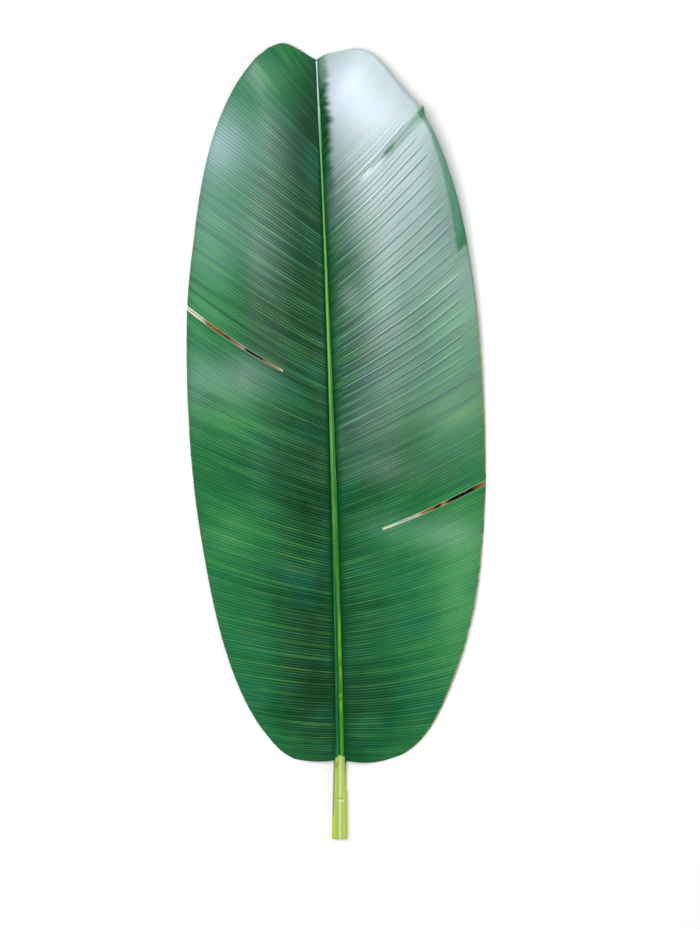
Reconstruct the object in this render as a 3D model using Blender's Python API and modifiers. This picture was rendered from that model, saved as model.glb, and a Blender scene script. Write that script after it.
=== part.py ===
# A whole banana leaf: blade, midrib and a short cut stalk, grown in one piece.
# It lies on a surface, upper face up. +Y runs from the cut stalk to the tip, +X to the right of
# somebody who looks down on it, and Z = 0 is the surface. Lengths are in millimetres up to the
# point where a mesh is made, which is in metres.
import math
from functools import partial

import bmesh
import bpy
from mathutils import Matrix, Vector

MM = 0.001
SIDES = (-1, 1)  # the left and the right half of the blade

# Midrib and stalk
STALK_END = (3.1, -363.0)
STALK_END_WIDTH = 11.4  # rim to rim of the channel; the flanks stand out a fifth further
BLADE_BASE_Y = -290.0
BLADE_TIP_Y = 350.0
MIDRIB_BASE_X = 3.7
MIDRIB_TIP_X = -18.0
MIDRIB_BOW = 2.8  # how far the midrib bows to the right of a straight line
MIDRIB_WIDTH = 9.7  # rim to rim where the blade begins
TIP_WIDTH = 1.2
WIDTH_FADE = 0.62  # below 1, the midrib keeps its width and thins out late
TIP_LIFT = 6.0  # how high the leaf arches between its middle and its tip
KEEL_SHORT = 1.0  # the keel ends this far inside the blade's tip
MIDRIB_STEPS = 26

# The midrib's section for a width of 1: a flat underside, round flanks and a channel on top
CHANNEL_LEVEL = 0.70
RIM_LEVEL = 0.88
KEEL_SECTION = (
    (-0.17, 0.0), (0.17, 0.0), (0.44, 0.15), (0.58, 0.40), (0.60, 0.64), (0.50, RIM_LEVEL),
    (0.27, 0.78), (0.0, CHANNEL_LEVEL), (-0.27, 0.78),
    (-0.50, RIM_LEVEL), (-0.60, 0.64), (-0.58, 0.40), (-0.44, 0.15),
)

# Pairs of veins from base to tip: the height at which both leave the midrib, then for the left
# and for the right one its angle there in degrees and the place where it ends on the margin
VEIN_PAIRS = (
    (-290, -10, (-39, -290.3), -14, (46, -291.5)),
    (-285, -5, (-50, -283.5), -8, (62, -285.8)),
    (-277, -2, (-60, -273), -4, (74.5, -276.5)),
    (-262, 1, (-73, -255.5), -1, (88.5, -259)),
    (-238, 3, (-87, -229), 2, (104.5, -225)),
    (-205, 6, (-101.5, -190), 5, (119.8, -180)),
    (-160, 9, (-115.5, -134), 9, (131.3, -122)),
    (-94, 14, (-129, -52), 17, (137.3, -37)),
    (-20, 18, (-135.8, 37), 20, (134.8, 49.5)),
    (44, 22, (-136.6, 123), 26, (127.5, 132)),
    (110, 28, (-130, 189), 33, (113.5, 210)),
    (165, 33, (-121.5, 244), 38, (95.8, 265)),
    (210, 38, (-109.6, 289), 41, (77.2, 301.3)),
    (245, 43, (-94, 322), 42, (60.3, 320.5)),
    (280, 47, (-75, 347), 50, (38, 348)),
    (290, 49, (-68, 353.5), 53, (28, 355.5)),
    (300, 51, (-61, 358.8), 58, (17, 358)),
    (317, 55, (-48, 363.5), 62, (3, 356.3)),
    (332, 56, (-35, 359), 64, (-7, 355)),
    (343, 54, (-25, 353.5), 62, (-11.5, 354)),
    (350, 34, (-20.5, 351.5), 45, (-15, 352.3)),
)

# Blade
BLADE_THICKNESS = 0.8
ROW_PITCH = 4.5  # about the distance between two rows of the mesh, which is half a rib
COLUMN_SHARES = (0.10, 0.20, 0.33, 0.51, 0.74, 1.0)  # places along a vein past the rim
RIB_HEIGHT = 1.0  # crest to valley
RIB_RISE = 0.2  # share of a vein over which its rib grows out of the midrib
RIB_FALL = 0.3  # share over which it flattens towards the margin
MARGIN_RIB = 0.6  # what is left of the rib's height at the margin
CREST_RATIO = 0.10  # how high each half arches, per length of its vein
CREST_LEAN = 0.8  # below 1, the crest lies nearer to the midrib than to the margin
MARGIN_LOW = 0.9  # the middle of the blade's thickness where the margin meets the surface
MARGIN_WAVE = 4.0
MARGIN_WAVES = {-1: 3.4, 1: 2.9}
SHORT_VEIN = 60.0  # ribs and waves fade out on veins shorter than this
# Towards the tip each half folds up from the midrib, over this stretch of the midrib
FOLD_STRETCH = {-1: (210.0, 300.0), 1: (-60.0, 257.0)}
FOLD_RISE = 0.14  # how far a folded half's margin stands above the midrib, per length of vein
FOLD_FLATTER = 0.75  # share of its arch that a folded half loses

# Tears follow a vein from the margin inwards. Each has its vein pair, its side, its opening at
# the margin, and how far the lower (-) or the upper lip (+) curls up there.
TEARS = (
    (7, 1, 1.8, 1.2),
    (9, -1, 2.0, -1.4),
)
TEAR_FLARE = 0.8  # below 1, a tear opens early and widens slowly
# Near the tip the blade has split too, and there the lower flap lies over the upper one
LAP_PAIR = 12
LAP_SIDE = 1
LAP_SLIT = 0.6  # the opening where the flaps part
LAP_START = 0.4  # share of the split that stays a slit, before the flaps overlap
LAP_OVERLAP = 2.6
LAP_RISE = 2.4  # how far the lower flap's edge stands above the upper flap's
LAP_OUT = 4.5  # how far its corner stands out past the margin
LAP_IN = 3.5  # how far the upper flap's corner is drawn in
CORNER_SWEEP = 3  # how sharply both corners are drawn out and in, as a power
WHOLE_COLUMNS = 4  # every split ends at this column

LEAF_GREEN = (0.045, 0.17, 0.06, 1.0)
LEAF_ROUGHNESS = 0.42


def clear_scene():
    for obj in list(bpy.data.objects):
        bpy.data.objects.remove(obj, do_unlink=True)


def make_collection(name):
    collection = bpy.data.collections.new(name)
    bpy.context.scene.collection.children.link(collection)
    return collection


def make_leaf_material():
    material = bpy.data.materials.new("leaf_green")
    material.use_nodes = True
    shader = material.node_tree.nodes["Principled BSDF"]
    shader.inputs["Base Color"].default_value = LEAF_GREEN
    shader.inputs["Roughness"].default_value = LEAF_ROUGHNESS
    shader.inputs["Metallic"].default_value = 0.0
    return material


def midrib_x(y):
    share = (y - BLADE_BASE_Y) / (BLADE_TIP_Y - BLADE_BASE_Y)
    straight = MIDRIB_BASE_X + (MIDRIB_TIP_X - MIDRIB_BASE_X) * share
    return straight + 4 * MIDRIB_BOW * share * (1 - share)


def midrib_width(y):
    left_over = max(0.0, (BLADE_TIP_Y - y) / (BLADE_TIP_Y - BLADE_BASE_Y))
    return TIP_WIDTH + (MIDRIB_WIDTH - TIP_WIDTH) * left_over ** WIDTH_FADE


def keel_height(y):
    """The midrib's underside is flat up to the leaf's middle, then one low arch to the tip."""
    share = max(0.0, y / BLADE_TIP_Y)
    top_of_arch = (2 / 3) ** 2 * (1 / 3)
    return TIP_LIFT * share ** 2 * (1 - share) / top_of_arch


def through(knots, values, at):
    """A smooth curve through the values, whose slopes come from each knot's neighbours."""
    last = len(knots) - 1
    i = min(max(sum(knot <= at for knot in knots) - 1, 0), last - 1)

    def slope(k):
        a, b = max(k - 1, 0), min(k + 1, last)
        return (values[b] - values[a]) / (knots[b] - knots[a])

    span = knots[i + 1] - knots[i]
    t = (at - knots[i]) / span
    lower = (1 + 2 * t) * (1 - t) ** 2 * values[i] + t * (1 - t) ** 2 * span * slope(i)
    upper = t * t * (3 - 2 * t) * values[i + 1] + t * t * (t - 1) * span * slope(i + 1)
    return lower + upper


def pair_places():
    """Each vein pair's distance from the base, as the mean of the midrib and both margins."""
    places = [0.0]
    for before, after in zip(VEIN_PAIRS, VEIN_PAIRS[1:]):
        along_left = math.dist(before[2], after[2])
        along_right = math.dist(before[4], after[4])
        places.append(places[-1] + (after[0] - before[0] + along_left + along_right) / 3)
    return places


def plan_rows(places):
    """The place of every row of the mesh, and the number of the row on each vein pair."""
    rows = [0.0]
    pair_rows = [0]
    for before, after in zip(places, places[1:]):
        count = max(1, round((after - before) / ROW_PITCH))
        for step in range(1, count + 1):
            rows.append(before + (after - before) * step / count)
        pair_rows.append(len(rows) - 1)
    return rows, pair_rows


def vein_at(place, side, places):
    """A vein as start, bend and end of a quadratic curve."""
    angle_item, end_item = (1, 2) if side < 0 else (3, 4)
    y = through(places, [pair[0] for pair in VEIN_PAIRS], place)
    angle = math.radians(through(places, [pair[angle_item] for pair in VEIN_PAIRS], place))
    end = Vector((through(places, [pair[end_item][0] for pair in VEIN_PAIRS], place),
                  through(places, [pair[end_item][1] for pair in VEIN_PAIRS], place)))
    start = Vector((midrib_x(y), y))
    half_reach = abs(end.x - start.x) / 2
    bend = start + half_reach * Vector((side, math.tan(angle)))
    return start, bend, end


def vein_share(index, vein):
    """How far along its vein a column lies: the midrib's middle, its rim, then the blade."""
    start, _, end = vein
    rim = min(0.5, midrib_width(start.y) / 2 / (end - start).length)
    if index < 2:
        return rim * index
    return rim + (1 - rim) * COLUMN_SHARES[index - 2]


def folded_share(y, side):
    """0 where this half of the blade lies down, 1 where it is folded up from the midrib."""
    first, last = FOLD_STRETCH[side]
    share = min(1.0, max(0.0, (y - first) / (last - first)))
    return share * share * (3 - 2 * share)


def blade_height(index, share, row, vein, side, wave):
    """Height of the middle of the blade's thickness."""
    start, _, end = vein
    length = (end - start).length
    size = min(1.0, length / SHORT_VEIN)
    level = CHANNEL_LEVEL if index == 0 else RIM_LEVEL
    root = keel_height(start.y) + midrib_width(start.y) * level
    fold = folded_share(start.y, side)
    lying = MARGIN_LOW + MARGIN_WAVE * size * wave
    margin = lying * (1 - fold) + (root + FOLD_RISE * length) * fold
    height = root * (1 - share) + margin * share
    if index < 2:
        return height
    crest = CREST_RATIO * (1 - FOLD_FLATTER * fold)
    arch = crest * length * math.sin(math.pi * share ** CREST_LEAN)
    rising = min(1.0, share / RIB_RISE)
    falling = 1 - (1 - MARGIN_RIB) * max(0.0, (share - 1 + RIB_FALL) / RIB_FALL)
    rib = RIB_HEIGHT / 2 * size * rising * falling
    return height + arch + (-rib if row % 2 else rib)


def tear_shift(run, lip, opening, rise):
    """How far a lip of an open tear moves across its vein, up and along; the lower lip is -1."""
    return lip * opening / 2 * run ** TEAR_FLARE, max(0.0, lip * rise) * run, 0.0


def lap_shift(run, lip):
    """The same for the split whose lower flap lies over the upper one."""
    closing = max(0.0, (run - LAP_START) / (1 - LAP_START))
    across = LAP_SLIT / 2 - (LAP_SLIT + LAP_OVERLAP) / 2 * closing
    if lip < 0:
        return -across, LAP_RISE * min(1.0, run / LAP_START), LAP_OUT * run ** CORNER_SWEEP
    return across, 0.0, -LAP_IN * run ** CORNER_SWEEP


def plan_splits(pair_rows):
    """The row and the side of every split, with the function that parts its lips."""
    splits = {(pair_rows[pair], side): partial(tear_shift, opening=opening, rise=rise)
              for pair, side, opening, rise in TEARS}
    splits[pair_rows[LAP_PAIR], LAP_SIDE] = lap_shift
    return splits


def make_grid(row_count):
    """A flat net: x counts columns from the midrib, left ones below 0, and y counts rows."""
    columns = len(COLUMN_SHARES) + 1
    bm = bmesh.new()
    bmesh.ops.create_grid(bm, x_segments=2 * columns, y_segments=row_count - 1, size=1.0)
    half_rows = (row_count - 1) / 2
    bmesh.ops.translate(bm, vec=(0, 1, 0), verts=bm.verts)
    bmesh.ops.transform(bm, matrix=Matrix.Diagonal((columns, half_rows, 1, 1)), verts=bm.verts)
    return bm


def cut_open(bm, splits):
    """Parts the net along every split, so that each of its places holds two lips."""
    for row, side in splits:
        edges = [edge for edge in bm.edges
                 if all(round(vert.co.y) == row and side * round(vert.co.x) >= WHOLE_COLUMNS
                        for vert in edge.verts)]
        bmesh.ops.split_edges(bm, edges=edges)


def leaf_place(vert, rows, veins, splits):
    """Where a point of the flat net lies on the leaf."""
    column, row = round(vert.co.x), round(vert.co.y)
    side = -1 if column < 0 else 1
    index = abs(column)
    vein = veins[side][row]
    start, bend, end = vein
    share = vein_share(index, vein)
    spot = (1 - share) ** 2 * start + 2 * share * (1 - share) * bend + share ** 2 * end
    wave = math.sin(math.pi * MARGIN_WAVES[side] * rows[row] / rows[-1]) ** 2
    height = blade_height(index, share, row, vein, side, wave)
    if (row, side) in splits and index > WHOLE_COLUMNS:
        faces_ahead = sum(face.calc_center_median().y > row for face in vert.link_faces)
        whole = vein_share(WHOLE_COLUMNS, vein)
        run = (share - whole) / (1 - whole)
        across, up, out = splits[row, side](run, 1 if faces_ahead else -1)
        along = (end - start).normalized()
        spot += along * out + side * Vector((-along.y, along.x)) * across
        height += up
    return Vector((spot.x, spot.y, height))


def make_blade(collection, material):
    places = pair_places()
    rows, pair_rows = plan_rows(places)
    veins = {side: [vein_at(place, side, places) for place in rows] for side in SIDES}
    splits = plan_splits(pair_rows)
    bm = make_grid(len(rows))
    cut_open(bm, splits)
    targets = [leaf_place(vert, rows, veins, splits) * MM for vert in bm.verts]
    for vert, target in zip(bm.verts, targets):
        vert.co = target
    mesh = bpy.data.meshes.new("banana_leaf")
    bm.to_mesh(mesh)
    bm.free()
    mesh.materials.append(material)
    mesh.shade_smooth()

    blade = bpy.data.objects.new("banana_leaf", mesh)
    collection.objects.link(blade)
    blade.modifiers.new("triangles", "TRIANGULATE")
    solidify = blade.modifiers.new("thickness", "SOLIDIFY")
    solidify.thickness = BLADE_THICKNESS * MM
    solidify.offset = 0.0
    return blade


def make_section(collection):
    curve = bpy.data.curves.new("keel_section", "CURVE")
    curve.dimensions = "2D"
    spline = curve.splines.new("POLY")
    spline.points.add(len(KEEL_SECTION) - 1)
    spline.use_cyclic_u = True
    for point, (x, y) in zip(spline.points, KEEL_SECTION):
        point.co = (x * MM, y * MM, 0, 1)
    section = bpy.data.objects.new("keel_section", curve)
    section.hide_render = True
    section.display_type = "WIRE"
    collection.objects.link(section)
    return section


def midrib_path():
    """Points of the midrib's underside with the width there, from the cut stalk to the tip."""
    stations = [(*STALK_END, STALK_END_WIDTH)]
    keel_length = BLADE_TIP_Y - KEEL_SHORT - BLADE_BASE_Y
    for step in range(MIDRIB_STEPS + 1):
        y = BLADE_BASE_Y + keel_length * step / MIDRIB_STEPS
        stations.append((midrib_x(y), y, midrib_width(y)))
    return [(Vector((x, y, keel_height(y))), width) for x, y, width in stations]


def make_midrib(collection, section):
    """The keel and the stalk: one section swept along the midrib, made a mesh."""
    curve = bpy.data.curves.new("midrib_path", "CURVE")
    curve.dimensions = "3D"
    curve.twist_mode = "Z_UP"
    curve.bevel_mode = "OBJECT"
    curve.bevel_object = section
    curve.use_fill_caps = True
    path = midrib_path()
    spline = curve.splines.new("POLY")
    spline.points.add(len(path) - 1)
    for point, (place, width) in zip(spline.points, path):
        point.co = (*(place * MM), 1)
        point.radius = width
    guide = bpy.data.objects.new("midrib_path", curve)
    collection.objects.link(guide)

    evaluated = guide.evaluated_get(bpy.context.evaluated_depsgraph_get())
    mesh = bpy.data.meshes.new_from_object(evaluated)
    bm = bmesh.new()
    bm.from_mesh(mesh)
    bmesh.ops.remove_doubles(bm, verts=bm.verts, dist=0.00001)
    bmesh.ops.recalc_face_normals(bm, faces=bm.faces)
    bm.to_mesh(mesh)
    bm.free()
    midrib = bpy.data.objects.new("midrib", mesh)
    midrib.matrix_world = guide.matrix_world
    midrib.hide_render = True
    midrib.display_type = "WIRE"
    collection.objects.link(midrib)
    bpy.data.objects.remove(guide, do_unlink=True)
    return midrib


def join_leaf(blade, midrib):
    """One closed body of blade, midrib and stalk, with its origin below its middle."""
    union = blade.modifiers.new("grown_together", "BOOLEAN")
    union.operation = "UNION"
    union.solver = "EXACT"
    union.object = midrib
    evaluated = blade.evaluated_get(bpy.context.evaluated_depsgraph_get())
    mesh = bpy.data.meshes.new_from_object(evaluated)
    corners = [Vector(corner) for corner in evaluated.bound_box]
    low = Vector([min(corner[axis] for corner in corners) for axis in range(3)])
    high = Vector([max(corner[axis] for corner in corners) for axis in range(3)])
    middle = (low + high) / 2
    mesh.transform(Matrix.Translation((-middle.x, -middle.y, -low.z)))
    blade.modifiers.clear()
    blade.data = mesh
    mesh.name = "banana_leaf"


def build_leaf():
    clear_scene()
    leaf = make_collection("banana_leaf")
    helpers = make_collection("helpers")
    blade = make_blade(leaf, make_leaf_material())
    section = make_section(helpers)
    midrib = make_midrib(helpers, section)
    join_leaf(blade, midrib)
    bpy.data.objects.remove(midrib, do_unlink=True)
    bpy.data.objects.remove(section, do_unlink=True)


build_leaf()
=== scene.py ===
# A banana leaf lying on a pale floor, seen from straight above
import math

import bmesh
import bpy
from mathutils import Matrix, Vector, noise


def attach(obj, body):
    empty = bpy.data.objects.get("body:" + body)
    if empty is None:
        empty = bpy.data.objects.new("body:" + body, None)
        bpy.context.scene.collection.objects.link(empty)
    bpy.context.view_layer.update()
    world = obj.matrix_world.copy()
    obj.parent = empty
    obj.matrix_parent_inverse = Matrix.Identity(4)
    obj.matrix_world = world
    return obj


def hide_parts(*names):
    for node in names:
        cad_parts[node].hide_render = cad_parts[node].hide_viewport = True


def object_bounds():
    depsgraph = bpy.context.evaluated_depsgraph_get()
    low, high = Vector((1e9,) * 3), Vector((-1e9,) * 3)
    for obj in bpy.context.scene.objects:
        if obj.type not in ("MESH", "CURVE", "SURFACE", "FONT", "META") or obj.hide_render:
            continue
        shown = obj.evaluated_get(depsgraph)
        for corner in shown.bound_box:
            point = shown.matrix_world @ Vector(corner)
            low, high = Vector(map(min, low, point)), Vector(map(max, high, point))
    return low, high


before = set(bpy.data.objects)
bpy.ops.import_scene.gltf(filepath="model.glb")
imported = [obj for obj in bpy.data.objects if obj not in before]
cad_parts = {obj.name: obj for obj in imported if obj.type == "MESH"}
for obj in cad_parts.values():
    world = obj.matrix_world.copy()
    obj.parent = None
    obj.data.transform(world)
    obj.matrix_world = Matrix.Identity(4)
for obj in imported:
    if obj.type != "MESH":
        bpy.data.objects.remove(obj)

cadBox = [list(corner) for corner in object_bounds()]
mm = 0.001
print("frame loaded")

# The leaf's form in millimetres, the same as the solid's
form = dict(
    baseY=-290.0, tipY=350.0,
    midribBaseX=3.7, midribTipX=-18.0, midribBow=2.8,
    midribWidth=9.7, tipWidth=1.2, widthFade=0.62,
    tipLift=6.0, channelLevel=0.70, rimLevel=0.88,
    crestRatio=0.10, crestLean=0.8, marginLow=0.9, marginWave=4.0,
    marginWaves={-1: 3.4, 1: 2.9}, shortVein=60.0,
    foldStretch={-1: (210.0, 300.0), 1: (-60.0, 257.0)}, foldRise=0.14, foldFlatter=0.75,
    lipFade=4.5,  # a split moves the blade up to this far from its lips
)
# Where each pair of veins leaves the midrib, then the angle and the end of the left and the right one
veinPairs = (
    (-290, -10, (-39, -290.3), -14, (46, -291.5)),
    (-285, -5, (-50, -283.5), -8, (62, -285.8)),
    (-277, -2, (-60, -273), -4, (74.5, -276.5)),
    (-262, 1, (-73, -255.5), -1, (88.5, -259)),
    (-238, 3, (-87, -229), 2, (104.5, -225)),
    (-205, 6, (-101.5, -190), 5, (119.8, -180)),
    (-160, 9, (-115.5, -134), 9, (131.3, -122)),
    (-94, 14, (-129, -52), 17, (137.3, -37)),
    (-20, 18, (-135.8, 37), 20, (134.8, 49.5)),
    (44, 22, (-136.6, 123), 26, (127.5, 132)),
    (110, 28, (-130, 189), 33, (113.5, 210)),
    (165, 33, (-121.5, 244), 38, (95.8, 265)),
    (210, 38, (-109.6, 289), 41, (77.2, 301.3)),
    (245, 43, (-94, 322), 42, (60.3, 320.5)),
    (280, 47, (-75, 347), 50, (38, 348)),
    (290, 49, (-68, 353.5), 53, (28, 355.5)),
    (300, 51, (-61, 358.8), 58, (17, 358)),
    (317, 55, (-48, 363.5), 62, (3, 356.3)),
    (332, 56, (-35, 359), 64, (-7, 355)),
    (343, 54, (-25, 353.5), 62, (-11.5, 354)),
    (350, 34, (-20.5, 351.5), 45, (-15, 352.3)),
)


def ramp(value, start, end):  # 0 before start, 1 past end, smooth between them
    t = min(max((value - start) / (end - start), 0.0), 1.0)
    return t * t * (3 - 2 * t)


def bell(distance, reach):  # 1 at distance 0, fading to nothing at about twice the reach
    return math.exp(-(distance / reach) ** 2)


def drift(x, y, seed):  # smooth noise between -1 and 1
    return noise.noise(Vector((x, y, seed * 7.31)))


def through(knots, values, at):  # a smooth curve through the values
    last = len(knots) - 1
    i = min(max(sum(knot <= at for knot in knots) - 1, 0), last - 1)

    def slope(k):
        a, b = max(k - 1, 0), min(k + 1, last)
        return (values[b] - values[a]) / (knots[b] - knots[a])

    span = knots[i + 1] - knots[i]
    t = (at - knots[i]) / span
    lower = (1 + 2 * t) * (1 - t) ** 2 * values[i] + t * (1 - t) ** 2 * span * slope(i)
    upper = t * t * (3 - 2 * t) * values[i + 1] + t * t * (t - 1) * span * slope(i + 1)
    return lower + upper


def midribX(y):
    share = (y - form["baseY"]) / (form["tipY"] - form["baseY"])
    straight = form["midribBaseX"] + (form["midribTipX"] - form["midribBaseX"]) * share
    return straight + 4 * form["midribBow"] * share * (1 - share)


def midribWidth(y):
    leftOver = max(0.0, (form["tipY"] - y) / (form["tipY"] - form["baseY"]))
    return form["tipWidth"] + (form["midribWidth"] - form["tipWidth"]) * leftOver ** form["widthFade"]


def keelHeight(y):
    share = max(0.0, y / form["tipY"])
    return form["tipLift"] * share ** 2 * (1 - share) * 6.75  # its highest value is the lift


places = [0.0]  # how far along the leaf each pair lies, as the mean of the midrib and both margins
for before, after in zip(veinPairs, veinPairs[1:]):
    along = after[0] - before[0] + math.dist(before[2], after[2]) + math.dist(before[4], after[4])
    places.append(places[-1] + along / 3)


def veinAt(place, side):  # a vein as start, bend and end of a quadratic curve
    angleItem, endItem = (1, 2) if side < 0 else (3, 4)
    y = through(places, [pair[0] for pair in veinPairs], place)
    angle = math.radians(through(places, [pair[angleItem] for pair in veinPairs], place))
    end = Vector((through(places, [pair[endItem][0] for pair in veinPairs], place),
                  through(places, [pair[endItem][1] for pair in veinPairs], place)))
    start = Vector((midribX(y), y))
    bend = start + abs(end.x - start.x) / 2 * Vector((side, math.tan(angle)))
    return start, bend, end


def bladeHeight(share, place, side, vein):
    start, _, end = vein
    length = (end - start).length
    width = midribWidth(start.y)
    rim = min(0.5, width / 2 / length)
    level = form["rimLevel"] - (form["rimLevel"] - form["channelLevel"]) * max(0.0, 1 - (share / rim) ** 2)
    root = keelHeight(start.y) + width * level
    fold = ramp(start.y, *form["foldStretch"][side])
    wave = math.sin(math.pi * form["marginWaves"][side] * place / places[-1]) ** 2
    lying = form["marginLow"] + form["marginWave"] * min(1.0, length / form["shortVein"]) * wave
    margin = lying * (1 - fold) + (root + form["foldRise"] * length) * fold
    crest = form["crestRatio"] * (1 - form["foldFlatter"] * fold) * ramp(share, 0, 2 * rim)
    arch = crest * length * math.sin(math.pi * share ** form["crestLean"])
    return root * (1 - share) + margin * share + arch


# The splits from the margin inwards, along the vein of a pair, up to a share of it that stays whole
tears = (
    dict(pair=7, side=1, whole=0.30, opening=0.5, curl=1.2, flare=0.6, droop=0.3),
    dict(pair=9, side=-1, whole=0.325, opening=0.8, curl=-1.4, flare=1.0, droop=0.3),
)
# A split whose lobes lie on each other from a start outwards
lap = dict(
    pair=12, side=1, whole=0.35, slit=0.3, start=0.4, overlap=2.6, rise=2.4, out=3.6, inward=3.5, sweep=3,
)
lips = dict(
    noneNear=20.0,  # the distance noted where no split is near
    ragged=0.3, raggedness=34.0, raggedReach=1.2, raggedFrom=0.2, droopReach=0.9, droopFrom=0.25,
)


def partLips(place, share, side, lip):  # how a split moves a point, and how near to its lip that is
    move = Vector((0.0, 0.0, 0.0))  # across the vein, along it, up
    near = dict(tearLip=lips["noneNear"], tearRun=0.0, lapLip=lips["noneNear"], lapRun=0.0)
    for split in (*tears, lap):
        run = (share - split["whole"]) / (1 - split["whole"])
        distance = place - places[split["pair"]]
        if split["side"] != side or abs(distance) > 2 * form["lipFade"] or run <= 0:
            continue
        facing = lip if abs(distance) < 1e-6 else math.copysign(1, distance)
        fade = max(0.0, 1 - abs(distance) / form["lipFade"])
        wide = max(0.0, 1 - abs(distance) / (2 * form["lipFade"]))
        if split is lap:
            near.update(lapLip=abs(distance) * facing, lapRun=run)
            closing = max(0.0, (run - lap["start"]) / (1 - lap["start"]))
            move.x += facing * (lap["slit"] / 2 - (lap["slit"] + lap["overlap"]) / 2 * closing) * fade
            move.y += (lap["out"] * wide if facing < 0 else -lap["inward"] * fade) * run ** lap["sweep"]
            move.z += lap["rise"] * min(1.0, run / lap["start"]) * fade if facing < 0 else 0.0
        else:
            near.update(tearLip=abs(distance), tearRun=run)
            ragged = lips["ragged"] * drift(share * lips["raggedness"], facing * 3, split["pair"])
            ragged *= bell(abs(distance), lips["raggedReach"]) * min(1.0, run / lips["raggedFrom"])
            move.x += facing * (split["opening"] / 2 * run ** split["flare"] + ragged) * fade
            move.z += max(0.0, facing * split["curl"]) * run * fade
            droop = bell(abs(distance), lips["droopReach"]) * min(1.0, run / lips["droopFrom"])
            move.z -= split["droop"] * droop
    return move, near


blade = dict(
    step=0.72, columns=46, crowding=1.15, thickness=0.7,
    tuckIn=0.42, tuckDepth=0.55, tuckEnd=2.2,  # where the inner edge lies on the midrib, and how it sinks in
    veinPitch=2.88, veinHeight=0.045,
    pleatPitch=9.8, pleatHeight=0.32, softPleat=0.05,
    swell=0.9, pucker=0.5, nick=0.5, nickFrom=0.9,
    shoulder=2.2, shoulderReach=5.5,  # near the tip the right half rises steeply beside the midrib
    shoulderStretch=(90.0, 210.0),
    pleatStretch=(-50.0, 30.0), pleatEnd=(212.0, 248.0), calmFrom=(225.0, 260.0),  # on the right half
    puckerStretch=(235.0, 275.0), puckerEnd=(325.0, 345.0), leftPucker=0.25, puckerReach=4.0,
)
# A pleat over its turn from 0 to 1: a shallow furrow, then a steep crest, and where painted shade and a
# painted highlight colour them
pleat = dict(
    riseFrom=0.30, top=0.56, fallTo=0.9, dip=0.35, dipWidth=0.09,
    ridgeAt=0.54, ridgeWidth=0.07, furrowAt=0.36, furrowWidth=0.11,
)
sheenLook = dict(  # stretches are in y up the leaf
    fromY=-60.0, stretch=400.0, bend=1.8, tipMore=0.18, tipStretch=(265.0, 310.0),
    midribReach=50.0, midribEnd=(165.0, 310.0), midribLess=0.7,  # weaker beside the midrib, not near the tip
    dimAt=212.0, dimReach=42.0, dimmer=0.13,
    marginReach=24.0, marginStretch=(140.0, 190.0), marginLess=0.35,
    bandWidth=7.5, bandWander=3.5, bandRagged=2.5, bandSoft=4.0,  # the band of painted shade beside the midrib, where no sheen is painted
    bandStretch=(195.0, 255.0), bandEnd=(315.0, 345.0), bandEndLess=0.4,
    lapLess=0.25, lapReach=14.0, lapStretch=(0.3, 0.5), leftMore=0.02,
)
shadeLook = dict(base=0.25, outwards=0.4)  # how light the green is, and how much lighter at the margin, as painted light
# Soft places where the wax coat and the painted sheen lie thicker or thinner: x, y, reach in x and in y,
# strength
waxAndSheenPlaces = (
    (-108, 274, 25, 36, 0.72), (-66, 270, 26, 40, 0.22), (-84, 195, 34, 50, 0.14), (-108, 58, 34, 20, 0.2),
    (-75, 335, 30, 16, 0.12), (-122, 200, 24, 50, 0.22), (102, -86, 34, 15, 0.1),
    (-128, 55, 10, 40, 0.1), (12, 131, 9, 12, 0.12), (20, 12, 18, 22, 0.04), (2, 0, 7, 14, 0.06),
    (65, -76, 40, 11, 0.03), (100, 28, 36, 34, 0.07), (50, -24, 60, 13, 0.05), (24, 160, 18, 36, -0.08),
)
# Lighter and darker patches of the green, in the same way, as painted light and shade
shadePlaces = (
    (-118, 150, 22, 60, 0.25), (-60, 120, 26, 60, -0.2), (-100, 25, 40, 26, 0.25), (-30, -60, 26, 50, -0.15),
    (-90, -84, 50, 22, 0.25), (-24, 260, 14, 50, -0.25), (62, -84, 50, 14, 0.35), (118, -110, 24, 50, 0.3),
    (-80, -20, 60, 20, -0.14), (50, -122, 50, 20, 0.2), (-34, 200, 30, 110, -0.2), (116, -170, 26, 60, 0.2),
    (60, -190, 60, 60, 0.08), (40, -240, 60, 34, -0.2), (-50, -250, 34, 30, -0.15), (104, 90, 24, 70, 0.2),
    (-70, 320, 26, 30, 0.1), (84, -28, 34, 13, -0.14), (-25, -200, 30, 120, -0.2),
)


def patches(spot, patchPlaces):
    return sum(strength * bell(spot.x - x, reachX) * bell(spot.y - y, reachY)
               for x, y, reachX, reachY, strength in patchPlaces)


def sheenAt(across, toMargin, y):  # the sheen of the right half, which grows towards the tip: a real coat reflection, and painted sheen in the colour
    look = sheenLook
    sheen = max(0.0, (y - look["fromY"]) / look["stretch"]) ** look["bend"]
    sheen += look["tipMore"] * ramp(y, *look["tipStretch"])
    sheen *= 1 - bell(across, look["midribReach"]) * (1 - look["midribLess"] * ramp(y, *look["midribEnd"]))
    sheen *= 1 - look["dimmer"] * bell(y - look["dimAt"], look["dimReach"])
    atMargin = bell(toMargin, look["marginReach"]) * ramp(y, *look["marginStretch"])
    return sheen * (1 - look["marginLess"] * atMargin)


def shadeBandAt(beside, y):  # how fully a point lies in the band of painted shade beside the midrib
    look = sheenLook
    width = look["bandWidth"] + look["bandWander"] * drift(y * 0.11, 0.5, 61)
    width += look["bandRagged"] * drift(y * 0.35, 4.5, 61)
    inside = 1 - ramp(beside, width - look["bandSoft"], width + look["bandSoft"])
    return inside * ramp(y, *look["bandStretch"]) * (1 - look["bandEndLess"] * ramp(y, *look["bandEnd"]))


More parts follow.
